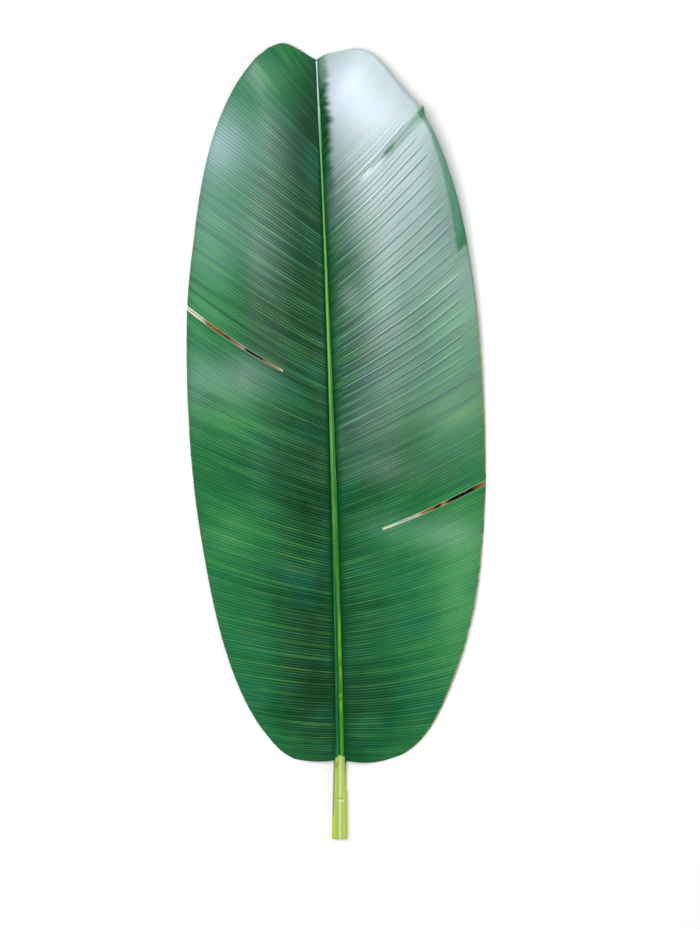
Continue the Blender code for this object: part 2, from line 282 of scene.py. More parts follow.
def waxAndSheenAt(across, toMargin, side, spot, near):  # how thickly the wax coat and the painted sheen lie, from 0 to 1
    wax = sheenLook["leftMore"] * ramp(spot.y, -60, 60) + patches(spot, waxAndSheenPlaces)
    if side > 0:
        wax += sheenAt(across, toMargin, spot.y)
        # painted shade: no sheen in the band beside the midrib
        wax *= 1 - shadeBandAt(spot.x - midribX(spot.y) - midribWidth(spot.y) / 2, spot.y)
        if near["lapRun"] > 0 and near["lapLip"] < 0:
            beyond = ramp(near["lapRun"], *sheenLook["lapStretch"])
            wax -= sheenLook["lapLess"] * beyond * bell(near["lapLip"], sheenLook["lapReach"])
    return min(max(wax, 0.0), 1.0)


def pleated(side, rootY):  # 1 where the right half is sharply pleated, 0 where it isn't
    if side < 0:
        return 0.0
    return ramp(rootY, *blade["pleatStretch"]) * (1 - ramp(rootY, *blade["pleatEnd"]))


def pleatAt(along, across, toMargin, side, rootY):  # where in its pleat a point lies, and how strong that is
    wander = 1.3 * drift(across * 0.02, along * 0.013, side + 2)
    wander += 0.4 * drift(across * 0.13, along * 0.09, side + 5)
    turn = (along + wander) / blade["pleatPitch"]
    strength = 0.75 + 0.45 * drift(math.floor(turn) * 3.7, across * 0.012, side + 9)
    strength *= ramp(across, 6, 18) * ramp(toMargin, 6, 24) * pleated(side, rootY)
    return turn, strength


def creaseLightAndShadeAt(turn, strength):  # below 0 in a furrow of painted shade, above 0 on the painted highlight of the ridge next to it
    phase = turn - math.floor(turn)
    ridgeHighlight = bell(phase - pleat["ridgeAt"], pleat["ridgeWidth"])
    return strength * (ridgeHighlight - bell(phase - pleat["furrowAt"], pleat["furrowWidth"]))


def relief(along, share, side, vein):  # fine veins, pleats, swelling and puckers
    start, _, end = vein
    length = (end - start).length
    across, toMargin = share * length, (1 - share) * length
    small = min(1.0, length / form["shortVein"])
    sharp = pleated(side, start.y)
    calm = ramp(start.y, *blade["calmFrom"]) if side > 0 else 0.0

    quiet = 1 - max(0.9 * sharp, calm)
    veins = -math.cos(2 * math.pi * along / blade["veinPitch"])
    height = blade["veinHeight"] * veins * quiet * ramp(across, 3, 12)

    turn, strength = pleatAt(along, across, toMargin, side, start.y)
    phase = turn - math.floor(turn)
    crest = ramp(phase, pleat["riseFrom"], pleat["top"]) * (1 - ramp(phase, pleat["top"], pleat["fallTo"]))
    crest -= pleat["dip"] * bell(phase - pleat["riseFrom"], pleat["dipWidth"])
    height += blade["pleatHeight"] * crest * strength
    soft = (1 - sharp) * (1 - calm) * ramp(across, 4, 20) * small
    height += blade["softPleat"] * math.cos(2 * math.pi * turn) * soft

    spot = start + (end - start) * share
    swell = drift(spot.x * 0.013, spot.y * 0.010, side + 12)
    swell += 0.4 * drift(spot.x * 0.035, spot.y * 0.02, side + 15)
    height += blade["swell"] * swell * ramp(across, 0, 40) * ramp(toMargin, 0, 40) * small

    beyondRim = max(0.0, across - midribWidth(start.y) / 2)
    puckered = blade["leftPucker"]
    if side > 0:
        shoulder = blade["shoulder"] * ramp(start.y, *blade["shoulderStretch"]) * small * (1 - share)
        height += shoulder * (1 - bell(beyondRim, blade["shoulderReach"]))
        puckered = ramp(start.y, *blade["puckerStretch"]) * (1 - ramp(start.y, *blade["puckerEnd"]))
    puckered *= bell(beyondRim, blade["puckerReach"]) * small
    return height + blade["pucker"] * drift(along * 0.32, 1.5, side + 20) * puckered


def makeGrid(columns, rows):  # a grid with its points at whole numbers, until it is shaped
    bm = bmesh.new()
    bmesh.ops.create_grid(bm, x_segments=columns, y_segments=rows, size=0.5)
    bmesh.ops.translate(bm, vec=(0.5, 0.5, 0), verts=bm.verts)
    bmesh.ops.transform(bm, matrix=Matrix.Diagonal((columns, rows, 1, 1)), verts=bm.verts)
    return bm


def finishPiece(bm, name):
    mesh = bpy.data.meshes.new(name)
    bm.to_mesh(mesh)
    bm.free()
    mesh.shade_smooth()
    piece = bpy.data.objects.new(name, mesh)
    bpy.context.scene.collection.objects.link(piece)
    return piece


def makeHalf(side, name):
    rowCount = round(places[-1] / blade["step"])
    rowPlaces = [places[-1] * row / rowCount for row in range(rowCount + 1)]
    columns = blade["columns"]
    bm = makeGrid(columns, rowCount)
    shares = [(column / columns) ** blade["crowding"] for column in range(columns + 1)]
    for split in (*tears, lap):
        if split["side"] == side:
            splitRow = min(range(rowCount), key=lambda row: abs(rowPlaces[row] - places[split["pair"]]))
            rowPlaces[splitRow] = places[split["pair"]]
            edges = [edge for edge in bm.edges
                     if all(round(vert.co.y) == splitRow and shares[round(vert.co.x)] >= split["whole"]
                            for vert in edge.verts)]
            bmesh.ops.split_edges(bm, edges=edges)
    veins = [veinAt(place, side) for place in rowPlaces]
    marks = ("along", "across", "toMargin", "rootY", "tearLip", "tearRun", "lapLip", "lapRun",
             "wax", "shade", "crease")
    layers = {mark: bm.verts.layers.float.new(mark) for mark in marks}
    targets = []
    for vert in bm.verts:
        row, place = round(vert.co.y), rowPlaces[round(vert.co.y)]
        start, bend, end = vein = veins[row]
        length = (end - start).length
        inner = blade["tuckIn"] * midribWidth(start.y) / length
        share = inner + (1 - inner) * shares[round(vert.co.x)]
        across, toMargin = share * length, (1 - share) * length
        lip = 1 if sum(face.calc_center_median().y > row for face in vert.link_faces) else -1
        spot = (1 - share) ** 2 * start + 2 * share * (1 - share) * bend + share ** 2 * end
        height = bladeHeight(share, place, side, vein) + relief(place, share, side, vein)
        height -= blade["tuckDepth"] * (1 - ramp(share, inner, blade["tuckEnd"] * inner))
        move, near = partLips(place, share, side, lip)
        direction = (end - start).normalized()
        worn = (0.5 + 0.5 * drift(place * 0.21, 0.5, side + 30)) ** 3
        worn *= blade["nick"] * ramp(share, blade["nickFrom"], 1)
        spot += direction * (move.y - worn) + side * Vector((-direction.y, direction.x)) * move.x
        targets.append(Vector((spot.x, spot.y, height + move.z)) * mm)
        # painted light: the green lighter towards the margin, with patches of painted light and shade
        outwards = shadeLook["outwards"] * ramp(share, 0.05, 0.95)
        values = dict(along=place, across=across, toMargin=toMargin, rootY=start.y, **near,
                      wax=waxAndSheenAt(across, toMargin, side, spot, near),
                      shade=shadeLook["base"] + outwards + patches(spot, shadePlaces),
                      crease=creaseLightAndShadeAt(*pleatAt(place, across, toMargin, side, start.y)))
        for mark, value in values.items():
            vert[layers[mark]] = value
    for vert, target in zip(bm.verts, targets):
        vert.co = target
    if side < 0:
        bmesh.ops.reverse_faces(bm, faces=bm.faces)
    half = finishPiece(bm, name)
    solid = half.modifiers.new("thickness", "SOLIDIFY")
    solid.thickness = blade["thickness"] * mm
    solid.offset = 0.0
    solid.material_offset = 1
    solid.material_offset_rim = 1
    return half


leftHalf = makeHalf(-1, "leafLeftHalf")
rightHalf = makeHalf(1, "leafRightHalf")
print("blade halves made")

midrib = dict(
    startY=-293.0, endBeforeTip=0.6, stations=400, topPoints=30,
    strand=0.045, groove=0.07, grooveAt=-0.06, grooveWidth=0.055, grooveStretch=(-150.0, 20.0),
    waver=0.03, sway=0.012, tipRise=0.9, riseStretch=(230.0, 300.0),
)
stalk = dict(
    endY=-363.0, endX=3.1, endWidth=11.4, frontY=-286.4, archDrop=1.6, stations=110, topPoints=34,
    over=0.8, overFade=1.6, sunk=0.15, wider=0.015,  # its skin over the midrib
    ridges=0.16, stepY=-318.0, stepOut=0.7, stepLength=2.5,
    notch=(4.6, -326.0), notchSize=(2.6, 0.6), notchDepth=0.5,
    flap=(-0.2, -295.5), flapSize=(1.2, 2.4), flapHeight=0.5,
    cutRim=0.5, cutSlope=0.7, hollow=0.9,  # the cut end
)
# The midrib's underside, across and up, for a width of 1
keelCorners = (
    (0.50, 0.88), (0.60, 0.64), (0.58, 0.40), (0.44, 0.15), (0.17, 0.0),
    (-0.17, 0.0), (-0.44, 0.15), (-0.58, 0.40), (-0.60, 0.64), (-0.50, 0.88),
)


def sectionLoop(topPoints):  # across and level of one turn round the midrib, for a width of 1
    top = [(-0.5 + step / topPoints, None) for step in range(topPoints)]  # level None: the channel
    knots = list(range(len(keelCorners)))
    steps = [step / 3 for step in range(3 * (len(keelCorners) - 1))]
    under = [(through(knots, [corner[0] for corner in keelCorners], step),
              max(0.0, through(knots, [corner[1] for corner in keelCorners], step))) for step in steps]
    return top + under


def channel(u):
    return form["channelLevel"] + (form["rimLevel"] - form["channelLevel"]) * (2 * u) ** 2


def sweep(loop, stations, place):  # a closed strip of rings along the leaf, capped at both ends
    bm = makeGrid(len(loop), stations)
    layers = {mark: bm.verts.layers.float.new(mark) for mark in ("acrossShare", "downLeaf")}
    for vert in bm.verts:
        u, level = loop[round(vert.co.x) % len(loop)]
        spot = place(u, level, round(vert.co.y) / stations)
        vert[layers["acrossShare"]] = u
        vert[layers["downLeaf"]] = spot.y
        vert.co = spot * mm
    bmesh.ops.remove_doubles(bm, verts=bm.verts, dist=1e-6)
    bmesh.ops.holes_fill(bm, edges=[edge for edge in bm.edges if edge.is_boundary], sides=0)
    bmesh.ops.recalc_face_normals(bm, faces=bm.faces)
    return bm


def midribPlace(u, level, t):
    y = midrib["startY"] + (form["tipY"] - midrib["endBeforeTip"] - midrib["startY"]) * t
    width = midribWidth(max(y, form["baseY"]))
    if level is None:
        lower = 1 - ramp(y, *midrib["grooveStretch"])
        level = channel(u) + midrib["strand"] * abs(math.sin(2 * math.pi * u))
        level -= midrib["groove"] * lower * bell(u - midrib["grooveAt"], midrib["grooveWidth"])
        level += midrib["waver"] * drift(u * 5, y * 0.05, 41)
    x = midribX(y) + width * (u + midrib["sway"] * drift(y * 0.03, 0.5, 43))
    return Vector((x, y, keelHeight(y) + level * width + midrib["tipRise"] * ramp(y, *midrib["riseStretch"])))


def spotBell(x, y, centre, size):  # 1 at the centre, fading over the size in x and in y
    return bell(y - centre[1], size[1]) * bell(x - centre[0], size[0])


def stalkPlace(u, level, t):
    front = stalk["frontY"] - stalk["archDrop"] * (2 * u) ** 2
    y = stalk["endY"] + (front - stalk["endY"]) * t
    share = max(0.0, (form["baseY"] - y) / (form["baseY"] - stalk["endY"]))
    middle = form["midribBaseX"] + (stalk["endX"] - form["midribBaseX"]) * share
    width = form["midribWidth"] + (stalk["endWidth"] - form["midribWidth"]) * share
    height = (channel(u) if level is None else level) * width
    if level is None:
        inwards = 0.5 - abs(u)
        ridges = drift(u * 9, y * 0.006, 51) + 0.5 * drift(u * 22, y * 0.012, 53)
        height += stalk["ridges"] * ridges * ramp(inwards, 0, 0.08)
        height += stalk["over"] * ramp(front - y, 0, stalk["overFade"]) * ramp(inwards, 0, 0.1)
        height -= stalk["sunk"]
        height -= stalk["notchDepth"] * spotBell(u * width + middle, y, stalk["notch"], stalk["notchSize"])
        height += stalk["flapHeight"] * spotBell(u * width + middle, y, stalk["flap"], stalk["flapSize"])
    wider = 1 + stalk["wider"] if y > form["baseY"] - 1 else 1.0
    step = stalk["stepOut"] * (ramp(stalk["stepY"] - y, 0, stalk["stepLength"]) - 1) * ramp(u, 0.3, 0.5)
    return Vector((middle + width * u * wider + step, y, max(0.0, height)))


def makeMidrib():
    return finishPiece(sweep(sectionLoop(midrib["topPoints"]), midrib["stations"], midribPlace), "midrib")


def makeStalk():
    bm = sweep(sectionLoop(stalk["topPoints"]), stalk["stations"], stalkPlace)
    cut = [face for face in bm.faces
           if len(face.verts) > 4 and face.calc_center_median().y < form["baseY"] * mm]
    bmesh.ops.inset_region(bm, faces=cut, thickness=stalk["cutRim"] * mm, use_even_offset=True)
    bmesh.ops.inset_region(bm, faces=cut, thickness=stalk["cutSlope"] * mm, depth=-stalk["hollow"] * mm,
                           use_even_offset=True)
    return finishPiece(bm, "stalk")


midribPiece = makeMidrib()
stalkPiece = makeStalk()
print("midrib and stalk made")


def fitToSolid(pieces):  # centres the pieces on the solid and keeps them just inside its box
    bpy.context.view_layer.update()
    depsgraph = bpy.context.evaluated_depsgraph_get()
    corners = [Vector(corner) for piece in pieces for corner in piece.evaluated_get(depsgraph).bound_box]
    low = Vector([min(corner[axis] for corner in corners) for axis in range(3)])
    high = Vector([max(corner[axis] for corner in corners) for axis in range(3)])
    goalLow, goalHigh = Vector(cadBox[0]), Vector(cadBox[1])
    inset = 0.05 * mm
    sizes = [high[axis] - low[axis] for axis in range(3)]
    factors = [min(1.0, (goalHigh[axis] - goalLow[axis] - 2 * inset) / sizes[axis]) for axis in range(3)]
    middle, goal = (low + high) / 2, (goalLow + goalHigh) / 2
    middle.z, goal.z = low.z, goalLow.z
    move = Matrix.Translation(goal) @ Matrix.Diagonal((*factors, 1)) @ Matrix.Translation(-middle)
    for piece in pieces:
        piece.data.transform(move)
    print("fitted by", [round(factor, 5) for factor in factors])


leafPieces = [leftHalf, rightHalf, midribPiece, stalkPiece]
fitToSolid(leafPieces)


class Wire:  # a socket of a material, so that sums are written as Python
    def __init__(self, paint, socket):
        self.paint, self.socket = paint, socket

    def sum(self, operation, *values):
        return self.paint.node("ShaderNodeMath", dict(operation=operation), values)

    def __add__(self, other):
        return self.sum("ADD", self, other)

    __radd__ = __add__

    def __sub__(self, other):
        return self.sum("SUBTRACT", self, other)

    def __rsub__(self, other):
        return self.sum("SUBTRACT", other, self)

    def __mul__(self, other):
        return self.sum("MULTIPLY", self, other)

    __rmul__ = __mul__

    def __truediv__(self, other):
        return self.sum("DIVIDE", self, other)

    def __pow__(self, other):
        return self.sum("POWER", self, other)

    def fraction(self):
        return self.sum("FRACT", self)

    def whole(self):
        return self.sum("FLOOR", self)

    def size(self):
        return self.sum("ABSOLUTE", self)

    def step(self, start, end):  # 0 at start, 1 at end, smooth between them
        settings = dict(interpolation_type="SMOOTHSTEP")
        inputs = {"Value": self, "From Min": min(start, end), "From Max": max(start, end)}
        rising = self.paint.node("ShaderNodeMapRange", settings, inputs)
        return rising if end > start else 1 - rising

    def line(self, pitch, power):  # thin lines of brightness 1 in the middle of each pitch
        return (1 - ((self / pitch).fraction() * 2 - 1).size()) ** power


class Paint:  # a material and the nodes behind its shader
    def __init__(self, name, **sockets):
        self.material = bpy.data.materials.new(name)
        self.material.use_nodes = True
        self.shader = self.material.node_tree.nodes["Principled BSDF"]
        self.marks = {}
        for socket, value in sockets.items():
            self.feed(socket.replace("_", " "), value)

    def feed(self, name, value):
        self.plug(self.shader.inputs[name], value)

    def plug(self, socket, value):
        if isinstance(value, Wire):
            self.material.node_tree.links.new(value.socket, socket)
        else:
            socket.default_value = value

    def node(self, kind, settings=None, inputs=(), output=0):
        made = self.material.node_tree.nodes.new(kind)
        for setting, value in (settings or {}).items():
            if setting == "stops":
                elements = made.color_ramp.elements
                while len(elements) < len(value):
                    elements.new(1.0)
                for element, (position, shade) in zip(elements, value):
                    element.position = position
                    element.color = shade
            else:
                setattr(made, setting, value)
        pairs = inputs.items() if isinstance(inputs, dict) else enumerate(inputs)
        for name, value in pairs:
            self.plug(made.inputs[name], value)
        return Wire(self, made.outputs[output])

    def mark(self, name):  # a value stored at the points of the mesh
        if name not in self.marks:
            self.marks[name] = self.node("ShaderNodeAttribute", dict(attribute_name=name), output="Fac")
        return self.marks[name]

    def point(self, x, y, z):
        return self.node("ShaderNodeCombineXYZ", inputs=(x, y, z))

    def cloud(self, where, detail=2.0, roughness=0.5):  # noise about 0.5
        inputs = {"Vector": where, "Scale": 1.0, "Detail": detail, "Roughness": roughness}
        return self.node("ShaderNodeTexNoise", inputs=inputs)

    def chance(self, number):  # one value between 0 and 1 for each number
        return self.node("ShaderNodeTexWhiteNoise", dict(noise_dimensions="1D"), {"W": number})

    def stops(self, factor, *stops):
        return self.node("ShaderNodeValToRGB", dict(stops=stops), (factor,))

    def mix(self, factor, first, second):
        inputs = {0: factor, 6: first, 7: second}
        return self.node("ShaderNodeMix", dict(data_type="RGBA"), inputs, output=2)

    def bump(self, height, distance, strength):
        inputs = {"Strength": strength, "Distance": distance, "Height": height}
        return self.node("ShaderNodeBump", inputs=inputs)


def colour(red, green, blue):  # screen values from 0 to 255
    return (*((value / 255) ** 2.2 for value in (red, green, blue)), 1.0)


greens = dict(
    deep=colour(21, 54, 32), dark=colour(24, 78, 44), middle=colour(38, 110, 62), light=colour(76, 146, 88),
    # the dark green beside the midrib is painted shade
    teal=colour(22, 98, 80), yellow=colour(82, 142, 56), midribShade=colour(14, 78, 42),
    fineVein=colour(96, 158, 112), mainVein=colour(112, 168, 66),
    pale=colour(230, 238, 250), sheenMist=colour(174, 206, 208),  # painted sheen of the right and of the left half
    # painted shade in the pleats' furrows, and a painted highlight on their ridges
    furrowShade=colour(52, 102, 98), ridgeHighlight=colour(226, 236, 240),
    dryMargin=colour(204, 178, 128), lipLine=colour(214, 216, 180),
    lapLip=colour(186, 206, 160), marginShade=colour(34, 112, 70),
)
# What differs between the left (-1) and the right half
halfLooks = {
    -1: dict(darker=0.06, yellow=0.5, sunnier=0.0, tipSofter=0.45, mainVeins=0.6, midribShadeReach=4.5,
             paintedSheen="sheenMist", paintedSheenBase=0.8, paintedSheenVeins=0.5),
    1: dict(darker=0.0, yellow=0.35, sunnier=0.5, tipSofter=0.0, mainVeins=0.45, midribShadeReach=6.5,
            paintedSheen="pale", paintedSheenBase=1.0, paintedSheenVeins=0.0),
}
veinLook = dict(
    fine=0.5, fineUpper=0.15, yellowed=0.35, valleys=0.3, darkFlow=0.42, lightFlow=0.25,
    wander=2.4, mainPitch=14.4, mainWander=18.0,
)
# Painted shade: the dark green strip along the right margin below the lap, where the turned-down margin shows
# no sheen
shadedMarginStrip = dict(
    lowY=84.5, tipY=210.0, width=1.6, widening=0.075, tipMore=5.0, ragged=4.0, hatch=0.6, hatchPitch=2.2,
)
dryLook = dict(
    innerWidth=0.55, growth=0.6, outerMore=1.1, ragged=0.7, line=0.4,  # the lips of the tears
    rightMargin=0.85, leftMargin=0.15,
)
# Colours of a tear's dried lips from its inner end (0) to the margin (1); the near-black stretches are
# painted shade in the gap
dryLipsAndShade = {
    -1: ((0.0, colour(214, 210, 160)), (0.06, colour(154, 120, 72)), (0.19, colour(116, 82, 48)),
         (0.22, colour(26, 20, 16)), (0.37, colour(34, 26, 22)), (0.41, colour(158, 136, 124)),
         (0.53, colour(128, 96, 72)), (0.57, colour(92, 56, 20)), (0.79, colour(150, 96, 36)),
         (0.84, colour(214, 206, 178)), (1.0, colour(226, 222, 206))),
    1: ((0.0, colour(214, 204, 120)), (0.11, colour(206, 204, 176)), (0.16, colour(176, 182, 168)),
        (0.36, colour(172, 176, 160)), (0.40, colour(150, 110, 58)), (0.49, colour(128, 88, 44)),
        (0.52, colour(40, 26, 18)), (0.56, colour(48, 32, 20)), (0.59, colour(170, 130, 74)),
        (0.64, colour(60, 38, 22)), (0.67, colour(22, 16, 14)), (0.88, colour(28, 20, 16)),
        (0.92, colour(112, 64, 20)), (1.0, colour(160, 104, 40))),
}


def bladeMarks(paint):
    return [paint.mark(mark) for mark in ("along", "across", "toMargin", "rootY")]


def paintGround(paint, side, clouds):  # the patchy green under the veins
    along, across, toMargin, rootY = bladeMarks(paint)
    look = halfLooks[side]
    bands = paint.cloud(paint.point(across * 0.011, along * 0.085, side * 4.0))
    streaks = paint.cloud(paint.point(across * 0.02, along * 0.34, side * 8.0), roughness=0.6)
    varied = 0.3 + 0.25 * rootY.step(-110, 60)
    tone = paint.mark("shade") - look["darker"] + (bands - 0.5) * varied + (streaks - 0.5) * 0.35
    base = paint.stops(tone, (0.0, greens["deep"]), (0.3, greens["dark"]),
                       (0.62, greens["middle"]), (1.0, greens["light"]))
    base = paint.mix((clouds * 0.7 + streaks * 0.3).step(0.48, 0.68) * 0.45, base, greens["teal"])
    sunny = (rootY + 45).size().step(88, 35)  # the yellower stretch above the right tear
    yellowing = (bands * 0.6 + clouds * 0.4 + sunny * 0.07).step(0.56, 0.72) * toMargin.step(110, 10)
    return paint.mix(yellowing * (look["yellow"] + look["sunnier"] * sunny), base, greens["yellow"])


def paintVeins(paint, side, base, bent, veins):  # fine and main veins, and streaks that run along them
    along, across, toMargin, rootY = bladeMarks(paint)
    look, pitch = halfLooks[side], blade["veinPitch"]
    faint = paint.cloud(paint.point(across * 0.03, along * 0.02, side * 16.0))
    own = paint.chance((bent / pitch).whole())
    fine = veins * (0.3 + 0.7 * own) * (0.4 + 0.6 * faint.step(0.25, 0.7))
    yellowed = own.step(0.62, 0.9) * (0.2 + 0.8 * rootY.step(250, 20))
    soft = 1 - look["tipSofter"] * rootY.step(150, 270)
    tone = paint.mix(yellowed * veinLook["yellowed"], greens["fineVein"], greens["mainVein"])
    fine = fine * soft * (veinLook["fine"] + veinLook["fineUpper"] * rootY.step(0, 120))
    base = paint.mix(fine, base, tone)
    valley = (bent + pitch / 2).line(pitch, 2.0)
    base = paint.mix(valley * soft * veinLook["valleys"], base, greens["deep"])

    flow = paint.cloud(paint.point(across * 0.011, bent * 0.2, side * 32.0), detail=1.0)
    streaky = (0.3 + 0.7 * rootY.step(-110, 60)) * soft
    base = paint.mix(flow.step(0.48, 0.3) * veinLook["darkFlow"] * streaky, base, greens["deep"])
    base = paint.mix(flow.step(0.52, 0.7) * veinLook["lightFlow"] * streaky, base, greens["light"])

    mainPitch = veinLook["mainPitch"]
    wander = paint.cloud(paint.point(along * 0.02, side * 3.0, 0.5)) - 0.5
    wandering = along + wander * veinLook["mainWander"]
    group = paint.chance((wandering / mainPitch).whole())
    main = wandering.line(mainPitch, 20.0) * (0.25 + 0.75 * group) * toMargin.step(0, 30)
    main = main * faint.step(0.25, 0.6) * (0.3 + 0.7 * rootY.step(330, 180))
    return paint.mix(main * look["mainVeins"], base, greens["mainVein"])


def paintSheen(paint, side, base, clouds, veins, midribShade):  # painted sheen over the green, and the pleats' painted shade and highlights in it
    wax, crease, look = paint.mark("wax"), paint.mark("crease"), halfLooks[side]
    # painted sheen: a pale colour where the wax lies and the lamp's reflection falls
    paintedSheen = wax * (1 - 0.8 * midribShade) * (0.6 + 0.25 * wax) * (0.85 + 0.3 * clouds)
    base = paint.mix(paintedSheen * (look["paintedSheenBase"] + look["paintedSheenVeins"] * veins), base, greens[look["paintedSheen"]])
    # painted shade in the pleats' furrows, and a painted highlight on their ridges
    furrowShade = (crease * -1).step(0.05, 0.9)
    base = paint.mix(furrowShade * 0.65, base, greens["furrowShade"])
    return paint.mix(crease.step(0.05, 0.9) * (0.26 + wax * 0.13), base, greens["ridgeHighlight"]), furrowShade


def paintMarginShade(paint, base):
    along, across, toMargin, rootY = bladeMarks(paint)
    lowY, tipY = shadedMarginStrip["lowY"], shadedMarginStrip["tipY"]
    width = shadedMarginStrip["width"] + (tipY - rootY) * shadedMarginStrip["widening"]
    width = width + rootY.step(tipY - 14, tipY) * shadedMarginStrip["tipMore"]
    torn = paint.cloud(paint.point(along * 0.3, 0.5, 4.5)) - 0.5
    # painted shade along the margin
    marginShade = (toMargin - width + torn * shadedMarginStrip["ragged"]).step(2.2, -1.2)
    marginShade = marginShade * rootY.step(lowY - 1, lowY + 1) * rootY.step(tipY + 0.5, tipY - 0.5)
    hatch = (along + across * 0.15).line(shadedMarginStrip["hatchPitch"], 2.0)
    hatch = hatch * paint.cloud(paint.point(along * 0.1, across * 0.3, 7.5)).step(0.35, 0.6)
    solid = 0.6 + 0.25 * rootY.step(110, 88) + 0.25 * rootY.step(tipY - 14, tipY - 2)
    return paint.mix(marginShade * solid * (1 - shadedMarginStrip["hatch"] * hatch), base, greens["marginShade"]), marginShade


def paintTear(paint, side, base):  # the dried lips of the half's tear
    along, across = paint.mark("along"), paint.mark("across")
    lip, run = paint.mark("tearLip"), paint.mark("tearRun")
    ragged = paint.cloud(paint.point(across * 0.35, along * 0.3, 2.5)) - 0.5
    width = dryLook["innerWidth"] + run ** dryLook["growth"] * dryLook["outerMore"]
    width = width + ragged * dryLook["ragged"]
    inTear = run.step(0.0, 0.015)
    dry = (lip - width).step(0.25, -0.1) * inTear
    outline = (lip - width).step(0.75, 0.35) * inTear
    base = paint.mix(outline * dryLook["line"], base, greens["lipLine"])
    # dried lips, with painted shade in the gap
    return paint.mix(dry, base, paint.stops(run + ragged * 0.05, *dryLipsAndShade[side])), dry


def paintLap(paint, base):
    along, across = paint.mark("along"), paint.mark("across")
    lip, run = paint.mark("lapLip"), paint.mark("lapRun")
    dots = paint.cloud(paint.point(across * 0.8, along * 0.4, 6.5)).step(0.45, 0.6)
    slit = lip.size().step(1.5, 0.6) * run.step(0.42, 0.36) * run.step(0.0, 0.02) * dots
    edge = (lip + 0.3).size().step(0.6, 0.3) * run.step(0.36, 0.42)
    base = paint.mix(slit * 0.85 + edge * 0.45, base, greens["lapLip"])
    # painted shade at the inner end of the lap
    lapShade = (lip + 3.0).size().step(4.0, 0.5) * (run - 0.47).size().step(0.13, 0.02)
    return paint.mix(lapShade * 0.7, base, greens["middle"])


def paintBlade(side, name):
    paint = Paint(name, IOR=1.45, Specular_IOR_Level=0.015, Coat_Roughness=0.26, Coat_IOR=1.9)
    along, across, toMargin, rootY = bladeMarks(paint)
    clouds = paint.cloud(paint.point(across * 0.02, along * 0.022, side * 12.0))
    bending = paint.cloud(paint.point(along * 0.12, across * 0.004, side * 28.0)) - 0.5
    bent = along + bending * veinLook["wander"]
    veins = bent.line(blade["veinPitch"], 2.5)
    base = paintVeins(paint, side, paintGround(paint, side, clouds), bent, veins)

    leftOver = (form["tipY"] - rootY) / (form["tipY"] - form["baseY"])
    widening = (form["midribWidth"] - form["tipWidth"]) / 2
    midribHalf = form["tipWidth"] / 2 + leftOver ** form["widthFade"] * widening
    midribShade = (across - midribHalf).step(halfLooks[side]["midribShadeReach"], 0.5)  # painted shade along the midrib
    base = paint.mix(midribShade * 0.65, base, greens["midribShade"])
    base, furrowShade = paintSheen(paint, side, base, clouds, veins, midribShade)
    shine = paint.mark("wax")
    if side > 0:
        base, marginShade = paintMarginShade(paint, base)
        shine = shine * (1 - 0.9 * marginShade) * (1 - 0.6 * furrowShade) * (0.4 + 0.6 * across.step(10, 60)) * (1 - midribShade)

    patchy = paint.cloud(paint.point(along * 0.09, across * 0.01, side * 20.0)).step(0.25, 0.5)
    margin = toMargin.step(1.8, 0.4) * patchy
    margin = margin * (rootY.step(70, 0) * dryLook["rightMargin"] if side > 0 else dryLook["leftMargin"])
    base, dry = paintTear(paint, side, paint.mix(margin, base, greens["dryMargin"]))
    if side > 0:
        base = paintLap(paint, base)

    grain = paint.cloud(paint.point(across * 1.1, along * 2.6, side * 24.0), detail=3.0, roughness=0.6)
    paint.feed("Base Color", base)
    paint.feed("Roughness", 0.36 + (clouds - 0.5) * 0.2 + (dry + margin) * 0.4)
    paint.feed("Coat Weight", shine * (1 - dry))
    paint.feed("Normal", paint.bump(grain, 0.00012, 0.1))
    return paint.material


undersideLook = dict(dark=colour(88, 132, 84), light=colour(124, 160, 110), veins=colour(150, 180, 124))


def paintUnderside():
    paint = Paint("leafUnderside", Roughness=0.62, Specular_IOR_Level=0.3)
    along, across = paint.mark("along"), paint.mark("across")
    streaks = paint.cloud(paint.point(across * 0.02, along * 0.3, 3.0), detail=3.0)
    base = paint.mix(streaks.step(0.3, 0.7), undersideLook["dark"], undersideLook["light"])
    base = paint.mix(along.line(blade["veinPitch"], 3.0) * 0.4, base, undersideLook["veins"])
    paint.feed("Base Color", base)
    paint.feed("Normal", paint.bump(along.line(blade["veinPitch"], 2.0), 0.0002, 0.7))
    return paint.material


# Colours of the midrib's two strands from the leaf's lower end (0) to its tip (1); the whitening near the tip
# is a painted highlight
strandColours = dict(
    left=((0.0, colour(18, 104, 66)), (0.3, colour(34, 112, 54)), (0.42, colour(84, 144, 70)),
          (0.62, colour(116, 160, 88)), (0.8, colour(104, 156, 80)), (0.9, colour(158, 192, 158)),
          (0.97, colour(222, 234, 234))),
    right=((0.0, colour(54, 126, 26)), (0.12, colour(66, 134, 26)), (0.3, colour(36, 112, 26)),
           (0.5, colour(40, 118, 26)), (0.72, colour(62, 138, 34)), (0.9, colour(112, 160, 110)),
           (0.97, colour(206, 224, 222))),
)
midribLook = dict(
    pale=colour(150, 180, 70), dark=colour(20, 84, 34), groove=colour(14, 66, 34), seam=colour(148, 202, 92),
    sunny=colour(128, 178, 22), flanks=colour(18, 82, 36),
)


